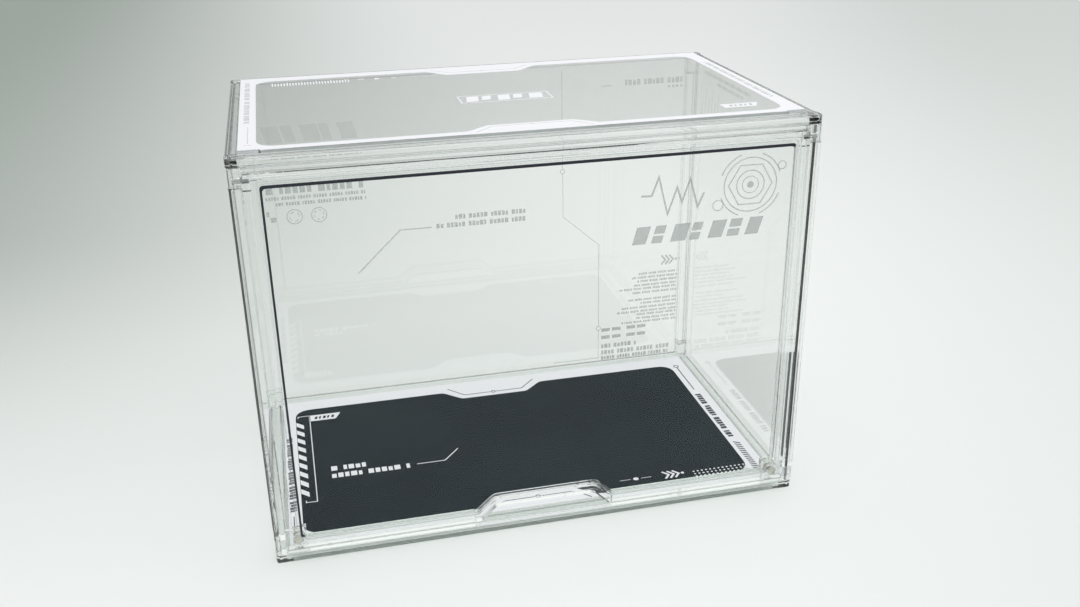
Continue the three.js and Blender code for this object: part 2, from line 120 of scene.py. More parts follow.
class Shader:
    """Adds nodes to a node tree, with expressions for its maths."""

    def __init__(self, tree: bpy.types.NodeTree) -> None:
        """Takes over the tree and empties it."""
        self.tree = tree
        tree.nodes.clear()

    def node(
        self, kind: str, settings: dict[str, Any] | None = None, inputs: dict[Any, Any] | None = None
    ) -> bpy.types.Node:
        """Adds one node.

        Args:
            kind: the node's type.
            settings: its properties, set first.
            inputs: values or links of its sockets, by name or number.

        Returns:
            The new node.
        """
        made = self.tree.nodes.new(kind)
        for key, value in (settings or {}).items():
            setattr(made, key, value)
        for key, value in (inputs or {}).items():
            source = value.socket if isinstance(value, Value) else value
            if isinstance(source, bpy.types.NodeSocket):
                self.tree.links.new(source, made.inputs[key])
            else:
                made.inputs[key].default_value = source
        return made

    def place(self) -> bpy.types.NodeSocket:
        """Where a surface point lies in its own object, in metres."""
        return self.node("ShaderNodeTexCoord").outputs["Object"]

    def parts(self, vector: bpy.types.NodeSocket) -> tuple[Value, Value, Value]:
        """The x, y and z of a vector."""
        made = self.node("ShaderNodeSeparateXYZ", None, {0: vector})
        return tuple(Value(self, made.outputs[i]) for i in range(3))

    def rise(self, value: Number, low: float, high: float) -> Value:
        """0 before low, 1 after high, and a smooth rise between them; low may be the larger."""
        made = self.node(
            "ShaderNodeMapRange",
            {"interpolation_type": "SMOOTHSTEP", "clamp": True},
            {"Value": value, "From Min": low, "From Max": high},
        )
        return Value(self, made.outputs["Result"])

    def noise(self, scale: float, detail: float = 2.0, stretch: Colour = (1.0, 1.0, 1.0)) -> Value:
        """Soft noise from 0 to 1 over the object.

        Args:
            scale: waves per metre.
            detail: octaves.
            stretch: how much quicker it changes along x, y and z.

        Returns:
            The noise.
        """
        mapped = self.node("ShaderNodeMapping", None, {"Vector": self.place(), "Scale": stretch})
        made = self.node(
            "ShaderNodeTexNoise", None, {"Vector": mapped.outputs[0], "Scale": scale, "Detail": detail}
        )
        return Value(self, made.outputs["Fac"])

    def blend(self, share: Number, first: Any, second: Any) -> bpy.types.NodeSocket:
        """A colour that goes from first to second as share goes from 0 to 1."""
        made = self.node(
            "ShaderNodeMix",
            {"data_type": "RGBA"},
            {"Factor": share, 6: self._colour(first), 7: self._colour(second)},
        )
        return made.outputs[2]

    @staticmethod
    def _colour(value: Any) -> Any:
        """A colour with its fourth number, or the link as it is."""
        return (*value, 1.0) if isinstance(value, tuple) and len(value) == 3 else value

    def bump(self, height: Number, strength: float, distance: float) -> bpy.types.NodeSocket:
        """A normal that follows a height, in metres of distance."""
        made = self.node(
            "ShaderNodeBump", None, {"Height": height, "Strength": strength, "Distance": distance}
        )
        return made.outputs[0]


def new_material(name: str) -> tuple[bpy.types.Material, Shader]:
    """An empty material and the shader that fills it."""
    material = bpy.data.materials.new(name)
    material.use_nodes = True
    return material, Shader(material.node_tree)


# ------------------------------------------------------------------ finishes


@dataclass(frozen=True)
class ClearPlastic:
    """Clear moulded or cut plastic, with faint flow lines and handling marks."""

    name: str
    tint: Colour
    clarity: float = 1.0
    index: float = 1.49
    ripple: float = 0.006
    ripple_scale: float = 16.0
    marks: float = 0.012
    shade: Colour = (0.95, 0.96, 0.955)

    def build(self) -> bpy.types.Material:
        """The finish as a material: refracting to the eye, and open to lamps."""
        material, shader = new_material(self.name)
        flow = shader.noise(self.ripple_scale, 3.0, (1.0, 1.0, 0.35))
        scuffs = shader.rise(shader.noise(420.0, 4.0, (1.0, 1.0, 0.12)), 0.62, 0.82)
        deeper = tuple(channel * 0.985 for channel in self.tint)
        body = shader.node(
            "ShaderNodeBsdfPrincipled",
            None,
            {
                "Base Color": shader.blend(flow, self.tint, deeper),
                "Roughness": scuffs * self.marks,
                "IOR": self.index,
                "Transmission Weight": self.clarity,
                "Normal": shader.bump(flow, self.ripple, 0.0006),
            },
        )
        open_to_lamps = shader.node("ShaderNodeBsdfTransparent", None, {"Color": (*self.shade, 1.0)})
        path = shader.node("ShaderNodeLightPath")
        inner = shader.node(
            "ShaderNodeMixShader",
            None,
            {0: path.outputs["Is Diffuse Ray"], 1: body.outputs[0], 2: open_to_lamps.outputs[0]},
        )
        outer = shader.node(
            "ShaderNodeMixShader",
            None,
            {0: path.outputs["Is Shadow Ray"], 1: inner.outputs[0], 2: open_to_lamps.outputs[0]},
        )
        shader.node("ShaderNodeOutputMaterial", None, {"Surface": outer.outputs[0]})
        return material


@dataclass(frozen=True)
class Ink:
    """Screen-printed ink: a thin even coat with a slightly grainy cover."""

    name: str
    colour: Colour
    cover: float = 1.0
    roughness: float = 0.42

    def build(self) -> bpy.types.Material:
        """The finish as a material."""
        material, shader = new_material(self.name)
        grain = shader.noise(900.0, 3.0)
        thin = tuple(channel * 0.93 for channel in self.colour)
        coat = shader.node(
            "ShaderNodeBsdfPrincipled",
            None,
            {
                "Base Color": shader.blend(grain, self.colour, thin),
                "Roughness": self.roughness + grain * 0.12,
                "Normal": shader.bump(grain, 0.08, 0.0001),
                "Alpha": self.cover,
            },
        )
        shader.node("ShaderNodeOutputMaterial", None, {"Surface": coat.outputs[0]})
        return material


@dataclass(frozen=True)
class PrintedFilm:
    """The dark printed film of the floor sheet, with a fine tooth and a white underside."""

    name: str
    colour: Colour
    worn: Colour
    under: Colour = (0.8, 0.81, 0.8)
    under_top: float = 5.95 * MM

    def build(self) -> bpy.types.Material:
        """The finish as a material."""
        material, shader = new_material(self.name)
        tooth = shader.noise(600.0, 2.0)
        cloud = shader.noise(9.0, 3.0)
        _, _, z = shader.parts(shader.place())
        printed = shader.rise(z, self.under_top - 0.1 * MM, self.under_top)
        dark = shader.blend(shader.rise(cloud, 0.35, 0.75), self.colour, self.worn)
        film = shader.node(
            "ShaderNodeBsdfPrincipled",
            None,
            {
                "Base Color": shader.blend(printed, self.under, dark),
                "Roughness": 0.5 + tooth * 0.14,
                "Specular IOR Level": 0.06,
                "Normal": shader.bump(tooth, 0.02, 0.00005),
            },
        )
        shader.node("ShaderNodeOutputMaterial", None, {"Surface": film.outputs[0]})
        return material


@dataclass(frozen=True)
class Metal:
    """Turned or plated metal with fine lathe lines."""

    name: str
    colour: Colour
    roughness: float
    metallic: float = 1.0

    def build(self) -> bpy.types.Material:
        """The finish as a material."""
        material, shader = new_material(self.name)
        lines = shader.noise(2600.0, 2.0, (1.0, 0.1, 1.0))
        stain = shader.rise(shader.noise(160.0, 3.0), 0.4, 0.8)
        dull = tuple(channel * 0.82 for channel in self.colour)
        skin = shader.node(
            "ShaderNodeBsdfPrincipled",
            None,
            {
                "Base Color": shader.blend(stain, self.colour, dull),
                "Roughness": self.roughness + lines * 0.14,
                "Metallic": self.metallic,
                "Normal": shader.bump(lines, 0.15, 0.0001),
            },
        )
        shader.node("ShaderNodeOutputMaterial", None, {"Surface": skin.outputs[0]})
        return material


class Finishes:
    """The finishes of the box, each built once."""

    def __init__(self) -> None:
        """Builds every material."""
        self.rail = ClearPlastic("clear_rail", (0.965, 0.978, 0.97)).build()
        self.block = ClearPlastic("clear_block", (0.955, 0.97, 0.962), 0.86, ripple=0.03).build()
        self.door = ClearPlastic("clear_door_frame", (0.97, 0.98, 0.975)).build()
        thin = ClearPlastic(
            "clear_panel", (0.965, 0.974, 0.967), 1.0, 1.49, 0.004, 6.0, 0.004, (0.98, 0.985, 0.982)
        )
        self.panel = thin.build()
        self.pane = replace(thin, name="clear_pane", index=1.21).build()
        self.white_ink = Ink("white_ink", (0.86, 0.85, 0.89)).build()
        self.grey_ink = Ink("grey_ink", (0.5, 0.54, 0.53), 0.42).build()
        self.back_ink = Ink("back_ink", (0.5, 0.54, 0.53), 0.36).build()
        self.pale_ink = Ink("pale_ink", (0.6, 0.63, 0.62), 0.34).build()
        self.faint_ink = Ink("faint_ink", (0.6, 0.63, 0.62), 0.13).build()
        # Pale grey ink on the roof sheet's front edge: painted light, standing in for light carried
        # through the clear edge.
        self.painted_edge_light = Ink("painted_edge_light", (0.66, 0.69, 0.685), 0.85).build()
        self.dark_ink = Ink("dark_ink", (0.022, 0.024, 0.038)).build()
        self.film = PrintedFilm("printed_film", (0.01, 0.017, 0.022), (0.015, 0.024, 0.029)).build()
        self.steel = Metal("hinge_steel", (0.42, 0.43, 0.44), 0.25).build()
        self.nickel = Metal("magnet_nickel", (0.78, 0.76, 0.68), 0.34, 0.55).build()


# ------------------------------------------------------------------ carried-over pieces


@dataclass(frozen=True)
class Carry:
    """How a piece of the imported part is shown: its finish and how far its edges are broken."""

    finish: bpy.types.Material
    edge: float
    steps: int = 3

    def dress(self, node: str) -> bpy.types.Object:
        """Gives one piece its finish and broken edges.

        Args:
            node: the piece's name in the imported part.

        Returns:
            The dressed piece.
        """
        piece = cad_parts[node]
        piece.data.materials.clear()
        piece.data.materials.append(self.finish)
        weld = piece.modifiers.new("weld", "WELD")
        weld.merge_threshold = 2e-5
        flat = piece.modifiers.new("flat", "DECIMATE")
        flat.decimate_type = "DISSOLVE"
        flat.angle_limit = math.radians(1.0)
        bevel = piece.modifiers.new("edge", "BEVEL")
        bevel.width = self.edge
        bevel.segments = self.steps
        bevel.limit_method = "ANGLE"
        bevel.angle_limit = math.radians(32.0)
        bevel.use_clamp_overlap = True
        normals = piece.modifiers.new("normals", "WEIGHTED_NORMAL")
        normals.weight = 80
        LOG.info("carried %s with edge %.2f mm", node, self.edge / MM)
        return piece


# ------------------------------------------------------------------ printed artwork


@dataclass(frozen=True)
class Face:
    """A flat face that artwork lies on, with u and v in millimetres across and up it."""

    origin: Vector
    across: Vector
    up: Vector
    outward: Vector

    def at(self, point: Point, height: float) -> Vector:
        """The place of a drawn point, at a height in metres off the face."""
        u, v = point
        drawn = self.across * (u * MM) + self.up * (v * MM)
        return self.origin + drawn + self.outward * height

    def lifted(self, height: float) -> "Face":
        """The same face moved outward by a height in metres."""
        origin = self.origin + self.outward * height
        return Face(origin, self.across, self.up, self.outward)


def arc(centre: Point, radius: float, start: float, end: float, steps: int) -> Loop:
    """Points along an arc.

    Args:
        centre: its centre.
        radius: its radius.
        start: the first point's angle in degrees.
        end: the last point's angle in degrees.
        steps: how many stretches it has.

    Returns:
        The points, both ends included.
    """
    angles = [math.radians(start + (end - start) * i / steps) for i in range(steps + 1)]
    return [(centre[0] + radius * math.cos(a), centre[1] + radius * math.sin(a)) for a in angles]


def rounded(corners: list[tuple[float, float, float]], steps: int = 6) -> Loop:
    """A closed outline with rounded corners.

    Args:
        corners: x, y and the length cut back from each corner.
        steps: how many stretches each rounding has.

    Returns:
        The outline's points.
    """
    points: Loop = []
    for index, (x, y, cut) in enumerate(corners):
        corner = Vector((x, y))
        before = Vector(corners[index - 1][:2])
        after = Vector(corners[(index + 1) % len(corners)][:2])
        if cut <= 0:
            points.append((x, y))
            continue
        start = corner + (before - corner).normalized() * cut
        end = corner + (after - corner).normalized() * cut
        for i in range(steps + 1):
            t = i / steps
            spot = start * (1 - t) ** 2 + corner * (2 * t * (1 - t)) + end * t**2
            points.append((spot.x, spot.y))
    return points


def rounded_box(left: float, low: float, right: float, high: float, cut: float) -> Loop:
    """An upright box with the same rounding at its four corners."""
    return rounded([(left, low, cut), (right, low, cut), (right, high, cut), (left, high, cut)])


class Artwork:
    """Flat printed shapes in millimetres, cut as one thin closed solid."""

    def __init__(self) -> None:
        """Starts with nothing drawn."""
        self.shapes: list[list[Loop]] = []

    def area(self, outline: Loop, *holes: Loop) -> None:
        """Adds a filled outline, less its holes."""
        self.shapes.append([outline, *holes])

    def block(self, left: float, low: float, right: float, high: float, slant: float = 0.0) -> None:
        """Adds a box whose top edge is moved sideways by slant."""
        self.area([(left, low), (right, low), (right + slant, high), (left + slant, high)])

    def disc(self, x: float, y: float, radius: float, squeeze: float = 1.0) -> None:
        """Adds a filled circle, or an ellipse whose height is squeezed."""
        circle = arc((0.0, 0.0), radius, 0, 360, 28)[:-1]
        self.area([(x + u, y + v * squeeze) for u, v in circle])

    def ring(self, x: float, y: float, radius: float, width: float) -> None:
        """Adds a circle line."""
        outer = arc((x, y), radius + width / 2, 0, 360, 36)[:-1]
        inner = arc((x, y), radius - width / 2, 0, 360, 36)[:-1]
        self.area(outer, inner)

    def line(self, points: Loop, width: float, closed: bool = False) -> None:
        """Adds a line of even width with mitred corners.

        Args:
            points: its corners.
            width: its width.
            closed: whether the last point joins the first.
        """
        left, right = [], []
        count = len(points)
        for index in range(count):
            here = Vector(points[index])
            before = Vector(points[index - 1]) if index > 0 or closed else None
            after = Vector(points[(index + 1) % count]) if index < count - 1 or closed else None
            steps = ((before, here), (here, after))
            ways = [(b - a).normalized() for a, b in steps if a is not None and b is not None]
            sides = [Vector((-way.y, way.x)) for way in ways]
            middle = sum(sides, Vector((0.0, 0.0))).normalized()
            reach = width / 2 / max(middle.dot(sides[0]), 0.35)
            left.append(tuple(here + middle * reach))
            right.append(tuple(here - middle * reach))
        if closed:
            self.area(left, right)
        else:
            self.area(left + right[::-1])

    def words(self, left: float, right: float, low: float, height: float, seed: int = 0) -> None:
        """Adds a row of small blocks that reads as a line of small print.

        Args:
            left: where the row starts.
            right: where it ends.
            low: its lower edge.
            height: the blocks' height.
            seed: which rhythm of blocks and gaps it has.
        """
        widths = (0.62, 0.5, 0.74, 0.42, 0.66, 0.56)
        x, index = left, seed
        while x < right - 0.3 * height:
            width = min(widths[index % 6] * height, right - x)
            dip = 0.12 * height if index % 4 == 1 else 0.0
            self.block(x, low, x + width, low + height - dip)
            x += width + (0.75 if (index + seed) % 5 == 4 else 0.2) * height
            index += 1

    def column(self, low: float, high: float, left: float, width: float, seed: int = 0) -> None:
        """Adds small print that runs up the face, its letters' feet at left + width."""
        row = Artwork()
        row.words(low, high, 0.0, width, seed)
        for shape in row.shapes:
            self.area([(left + width - v, u) for u, v in shape[0]])

    def cut(
        self, name: str, face: Face, thickness: float, finish: bpy.types.Material
    ) -> bpy.types.Object:
        """Makes the solid.

        Args:
            name: the piece's name.
            face: where it lies.
            thickness: the coat's thickness in metres.
            finish: its material.

        Returns:
            The new piece.
        """
        mesh = bpy.data.meshes.new(name)
        work = bmesh.new()
        for loops in self.shapes:
            points = [point for loop in loops for point in loop]
            low = [work.verts.new(face.at(point, 0.0)) for point in points]
            high = [work.verts.new(face.at(point, thickness)) for point in points]
            for a, b, c in tessellate_polygon([[Vector((*p, 0.0)) for p in loop] for loop in loops]):
                work.faces.new((high[a], high[b], high[c]))
                work.faces.new((low[c], low[b], low[a]))
            start = 0
            for loop in loops:
                for index in range(len(loop)):
                    here, after = start + index, start + (index + 1) % len(loop)
                    work.faces.new((low[here], low[after], high[after], high[here]))
                start += len(loop)
        bmesh.ops.recalc_face_normals(work, faces=work.faces)
        work.to_mesh(mesh)
        work.free()
        mesh.materials.append(finish)
        piece = bpy.data.objects.new(name, mesh)
        bpy.context.scene.collection.objects.link(piece)
        LOG.info("printed %s with %d shapes", name, len(self.shapes))
        return piece


# ------------------------------------------------------------------ cabinet


@dataclass
class Cabinet:
    """The box that stands still: rails, corner blocks, posts, sheets and door strips."""

    finishes: Finishes
    rail_edge: float = 0.45 * MM
    block_edge: float = 0.5 * MM
    sheet_edge: float = 0.25 * MM
    rails: tuple[str, ...] = ("front", "back", "left", "right")
    corners: tuple[str, ...] = ("front_left", "front_right", "back_left", "back_right")

    def dress(self) -> None:
        """Dresses every piece of the cabinet."""
        rail = Carry(self.finishes.rail, self.rail_edge)
        block = Carry(self.finishes.block, self.block_edge)
        sheet = Carry(self.finishes.panel, self.sheet_edge, 2)
        for level in ("roof", "base"):
            for side in self.rails:
                rail.dress(f"{level}_{side}_rail")
            for corner in self.corners:
                block.dress(f"{level}_{corner}_block")
        for corner in self.corners:
            rail.dress(f"{corner}_post")
        for name in ("door_lintel", "door_sill"):
            rail.dress(name)
        for name in ("roof_panel", "floor_panel", "left_side_panel", "right_side_panel", "back_panel"):
            sheet.dress(name)
        Carry(self.finishes.film, 0.1 * MM, 1).dress("floor_sheet")
        for side in ("left", "right"):
            Carry(self.finishes.nickel, 0.3 * MM).dress(f"catch_{side}_magnet")


@dataclass
class Door:
    """The lifting door: its frame, pane, magnets and hinge pins."""

    finishes: Finishes
    frame_edge: float = 0.4 * MM

    def dress(self) -> None:
        """Dresses every piece of the door."""
        Carry(self.finishes.door, self.frame_edge).dress("door_frame")
        Carry(self.finishes.pane, 0.2 * MM, 2).dress("door_window")
        for side in ("left", "right"):
            Carry(self.finishes.nickel, 0.3 * MM).dress(f"door_{side}_magnet")
            Carry(self.finishes.steel, 0.25 * MM).dress(f"hinge_{side}_pin")


# ------------------------------------------------------------------ prints


class Wall(Enum):
    """The faces that are printed, each with the piece that it belongs to."""

    ROOF = "roof_panel"
    FLOOR = "floor_sheet"
    DOOR = "door_window"
    BACK = "back_panel"
    RIGHT = "right_side_panel"

    def face(self) -> Face:
        """The printed face, with u and v measured from the part's origin."""
        low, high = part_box(self.value)
        right, back, up = Vector((1, 0, 0)), Vector((0, 1, 0)), Vector((0, 0, 1))
        if self in (Wall.ROOF, Wall.FLOOR):
            return Face(up * high.z, right, back, up)
        if self is Wall.DOOR:
            return Face(back * low.y, right, up, -back)
        if self is Wall.BACK:
            return Face(back * high.y, right, up, back)
        return Face(right * high.x, back, up, right)


@dataclass
class Print:
    """Artwork printed on one wall of the box, with the marks that several walls share."""

    finishes: Finishes
    wall: Wall
    body: str
    coat: float = 0.12 * MM
    bite: float = 0.03 * MM

    def apply(
        self, name: str, art: Artwork, finish: bpy.types.Material, slot: str, lift: float = 0.0
    ) -> None:
        """Prints artwork on the wall.

        Args:
            name: the piece's name.
            art: what is printed.
            finish: its ink.
            slot: not used.
            lift: how far it lies off the wall, over another coat.
        """
        piece = art.cut(name, self.wall.face().lifted(lift - self.bite), self.coat, finish)
        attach(piece, self.body)

    @staticmethod
    def tab(art: Artwork, left: float, low: float, width: float, height: float, turn: int = 1) -> None:
        """Draws a filled label with one raked end and raked blocks left open in it.

        Args:
            art: the artwork that it is added to.
            left: its left edge.
            low: its lower edge.
            width: its width.
            height: its height.
            turn: 1 with the raked end on the right, -1 on the left.
        """
        rake = 0.45 * height * turn
        ends = (0.0, rake) if turn > 0 else (rake, 0.0)
        outline = rounded(
            [
                (left + max(-ends[0], 0.0), low, 0.5),
                (left + width - max(ends[1], 0.0), low, 0.5),
                (left + width, low + height, 0.5),
                (left, low + height, 0.5),
            ],
            3,
        )
        open_low, open_high = low + 0.28 * height, low + 0.72 * height
        step = width * 0.13
        slots = []
        for index in range(5):
            x = left + width * 0.17 + index * step
            reach = step * (0.45 if index % 2 else 0.62)
            slots.append(
                [
                    (x, open_low),
                    (x + reach, open_low),
                    (x + reach + 0.08 * height, open_high),
                    (x + 0.08 * height, open_high),
                ]
            )
        art.area(outline, *slots)

    @staticmethod
    def chevrons(art: Artwork, x: float, y: float, size: float) -> None:
        """Draws a plain mark: three nested arrowheads and a dot.

        Args:
            art: the artwork that it is added to.
            x: its middle across.
            y: its middle up.
            size: its height.
        """
        for index in range(3):
            start = x - size * 0.8 + index * size * 0.42
            art.line(
                [(start, y + size / 2), (start + size * 0.42, y), (start, y - size / 2)],
                size * 0.17,
            )
        art.disc(x + size * 0.78, y, size * 0.14)


@dataclass
class BorderSizes:
    """The clear or dark field inside a white border, in millimetres, with a stepped tab at each end."""

    left: float
    right: float
    front: float
    back: float
    corner: float
    tab_outer: float
    tab_inner: float
    tab_depth_front: float
    tab_depth_back: float

    def field(self) -> Loop:
        """The field's outline."""
        return rounded(
            [
                (self.left, self.front, self.corner),
                (-self.tab_outer, self.front, 2.5),
                (-self.tab_inner, self.front + self.tab_depth_front, 2.5),
                (self.tab_inner, self.front + self.tab_depth_front, 2.5),
                (self.tab_outer, self.front, 2.5),
                (self.right, self.front, self.corner),
                (self.right, self.back, self.corner),
                (self.tab_outer, self.back, 2.5),
                (self.tab_inner, self.back - self.tab_depth_back, 2.5),
                (-self.tab_inner, self.back - self.tab_depth_back, 2.5),
                (-self.tab_outer, self.back, 2.5),
                (self.left, self.back, self.corner),
            ]
        )


@dataclass
class RoofPrint(Print):
    """White border on the roof, with white marks in its clear field, faint ones on the border, and
    painted light on its front edge.
    """

    margin: float = 0.4
    notch: Point = (12.7, 2.0)
    border: BorderSizes = field(
        default_factory=lambda: BorderSizes(-162.2, 162.6, -92.6, 86.2, 13.0, 40.3, 27.0, 11.0, 15.0)
    )

    def build(self) -> None:
        """Prints the roof."""
        low, high = (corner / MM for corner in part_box(self.wall.value))
        x, front, back = high.x - self.margin, low.y + self.margin, high.y - self.margin
        step, deep = self.notch
        inner = front + deep
        outline = rounded([(x - step, front, 0), (x - step, inner, 0), (x, inner, 0), (x, back, 1.2)])
        mirrored = [(-u, v) for u, v in reversed(outline)]
        border = Artwork()
        border.area(outline + mirrored, self.border.field())
        self.apply("roof_border_print", border, self.finishes.white_ink, "white_ink")
        self.apply("roof_white_marks", self._white_marks(), self.finishes.white_ink, "white_ink")
        # Pale grey ink on the front edge of the sheet: painted light.
        self._painted_edge_light(x - step, high.z - 0.15)
        faint = self._faint_marks()
        self.apply("roof_faint_marks", faint, self.finishes.pale_ink, "grey_ink", self.coat * 0.8)

    def _painted_edge_light(self, half: float, top: float) -> None:
        """Covers the front edge of the roof sheet with pale grey ink: painted light, standing in for
        the light that the clear edge carries from the rest of the sheet.

        Args:
            half: how far the cut runs to each side.
            top: its upper limit.
        """
        low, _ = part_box(self.wall.value)
        up, right, back = Vector((0, 0, 1)), Vector((1, 0, 0)), Vector((0, 1, 0))
        art = Artwork()
        art.block(-half, low.z / MM + 0.2, half, top)
        front = Face(back * (low.y + self.bite), right, up, -back)
        piece = art.cut("roof_panel_painted_edge_light", front, self.coat, self.finishes.painted_edge_light)
        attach(piece, self.body)

    def _white_marks(self) -> Artwork:
        """Scale marks, a boxed badge and a label in the clear field."""
        art = Artwork()
        for index in range(27):
            x = -151.2 + index * 2.04
            art.block(x, 68.4, x + 0.95, 77.8 if index % 5 == 0 else 76.4)
        art.block(-91.0, 74.2, -86.2, 75.8)
        art.disc(-77.4, 73.9, 1.9, 1.1)
        art.block(-67.2, 73.4, -63.6, 74.4)
        art.line([(-60.0, 73.9), (-33.0, 73.9)], 0.4)
        art.line([(-31.4, -20.6), (29.4, -20.6), (29.4, -0.8), (-31.4, -0.8)], 0.9, True)
        for index, width in enumerate((8.0, 6.0, 8.0, 6.0, 9.0)):
            left = -28.0 + index * 10.6
            cut = 3.0 if index % 2 else 0.0
            art.block(left, -17.8 + cut, left + width, -3.4, 2.2)
        self.tab(art, 126.3, -81.2, 25.6, 9.8)
        return art

    def _faint_marks(self) -> Artwork:
        """Small print and hairlines on the white border."""
        art = Artwork()
        art.column(30.0, 86.5, -169.6, 3.4, 1)
        art.column(-35.6, 26.0, -169.6, 3.4, 4)
        art.line([(-167.0, -45.5), (-167.0, -84.6)], 0.5)
        art.line([(-168.9, -88.4), (-165.0, -88.4)], 0.4)
        art.column(-60.0, 60.0, 166.0, 3.2, 2)
        for sign, edge in ((-1, self.border.front), (1, self.border.back)):
            far = edge + sign * 3.8
            near = edge - sign * 7.4
            art.line([(-36.0, far), (-24.5, near), (-2.2, near)], 0.35)
            art.line([(2.2, near), (24.5, near), (36.0, far)], 0.35)
            art.ring(0.0, near, 1.3, 0.4)
        return art


@dataclass
class FloorPrint(Print):
    """White border on the dark floor sheet, pale marks on its field and dark marks on its border."""

    margin: float = 0.2
    border: BorderSizes = field(
        default_factory=lambda: BorderSizes(-161.3, 157.0, -90.0, 83.5, 13.0, 41.0, 27.0, 12.0, 13.2)
    )

    def build(self) -> None:
        """Prints the floor sheet."""
        low, high = (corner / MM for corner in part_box(self.wall.value))
        left, right = low.x + self.margin, high.x - self.margin
        front, back = low.y + self.margin, high.y - self.margin
        border = Artwork()
        border.area(
            rounded_box(left, front, right, back, 1.5),
            self.border.field(),
        )
        self.apply("floor_border_print", border, self.finishes.white_ink, "white_ink")
        self.apply("floor_pale_marks", self._pale_marks(), self.finishes.white_ink, "white_ink")
        dark = self._dark_marks()
        self.apply("floor_dark_marks", dark, self.finishes.dark_ink, "dark_ink", self.coat * 0.8)

    def _pale_marks(self) -> Artwork:
        """Label, hatch, bracket, small print, leader and dots on the dark field."""
        art = Artwork()
        self.tab(art, -151.0, 63.7, 25.0, 9.4)
        for index in range(9):
            y = 64.0 - index * 12.2
            art.area([(-161.0, y), (-155.4, y - 5.6), (-155.4, y - 11.6), (-161.0, y - 6.0)])
        bracket = [(-159.4, 70.4), (-159.4, 73.0), (-150.4, 73.0), (-150.4, -52.0)]
        art.line(bracket + [(-158.0, -52.0), (-158.0, -49.6)], 0.7)
        art.words(-138.5, -113.2, -14.6, 6.0, 2)
        art.words(-138.5, -80.6, -24.6, 6.0, 5)
        art.line([(-76.5, -20.9), (-55.6, -20.9), (-43.6, -6.4)], 0.7)
        self.chevrons(art, 101.0, -81.6, 9.0)
        for row in range(3):
            for column in range(13):
                art.disc(116.4 + column * 3.2, -82.0 - row * 3.3, 0.75)
        art.disc(73.0, -81.0, 2.0, 0.9)
        art.line([(61.0, -80.8), (69.0, -80.8)], 0.4)
        art.line([(77.0, -81.0), (84.5, -81.0)], 0.4)
        return art

    def _dark_marks(self) -> Artwork:
        """Small print, hatch and hairlines on the white border."""
        art = Artwork()
        art.ring(161.8, 80.0, 2.0, 0.7)
        art.line([(161.8, 77.6), (161.8, 36.3)], 0.8)
        art.column(-42.8, 28.0, 159.3, 4.6, 1)
        for index in range(13):
            y = -50.0 - index * 3.1
            art.area([(160.0, y), (164.6, y - 2.6), (164.6, y - 3.9), (160.0, y - 1.3)])
        art.column(-60.0, 42.0, -169.2, 4.4, 3)
        art.line([(-167.0, -66.0), (-167.0, -84.0)], 0.7)
        for sign, edge in ((-1, self.border.front), (1, self.border.back)):
            far = edge + sign * 5.5
            near = edge - sign * 7.6
            art.line([(-36.2, far), (-24.2, near), (-2.6, near)], 0.7)
            art.line([(2.6, near), (24.2, near), (36.2, far)], 0.7)
            art.ring(0.0, near, 1.6, 0.7)
        return art


@dataclass
class DoorPrint(Print):
    """Grey print on the door: a captioned leader, a pulse line, raked blocks and a line drawing."""

    def build(self) -> None:
        """Prints the door."""
        art = Artwork()
        art.words(-52.8, -10.3, 223.6, 2.9, 1)
        art.words(-64.2, -10.3, 218.8, 2.9, 4)
        art.line([(-67.1, 219.9), (-85.7, 219.9), (-111.9, 195.3)], 0.7)
        pulse = [
            (62.5, 227.4),
            (69.2, 227.0),
            (73.6, 238.6),
            (79.8, 214.4),
            (85.6, 231.2),
            (89.0, 221.6),
            (94.0, 236.2),
            (99.4, 217.6),
            (103.4, 226.4),
        ]
        art.line(pulse, 1.3)
        for index, width in enumerate((9.0, 7.0, 10.0, 6.5, 9.5, 8.0, 9.0)):
            left = 57.0 + index * 12.5
            if index % 2:
                art.block(left, 196.0, left + width, 200.8, 1.4)
                art.block(left + 1.7, 202.0, left + width + 1.7, 207.4, 1.5)
            else:
                art.block(left, 196.0, left + width, 207.4, 3.4)
        self._drawing(art)
        self.apply("door_print", art, self.finishes.grey_ink, "grey_ink")

    @staticmethod
    def _drawing(art: Artwork) -> None:
        """Draws nested rings, a hexagon and arcs, as on a dial or a nut."""
        x, y = 134.0, 229.0
        art.ring(x, y, 17.5, 0.7)
        art.line([p for p in arc((x, y), 14.6, 0, 360, 6)[:-1]], 0.7, True)
        art.ring(x, y, 9.2, 0.7)
        art.ring(x, y, 5.4, 0.5)
        art.disc(x, y, 2.2)
        for start in (20, 110, 200, 290):
            art.line(arc((x, y), 20.6, start, start + 50, 8), 0.7)
        art.ring(x + 20.6, y + 11.0, 2.6, 0.6)
        art.ring(x - 21.0, y - 12.0, 3.4, 0.6)


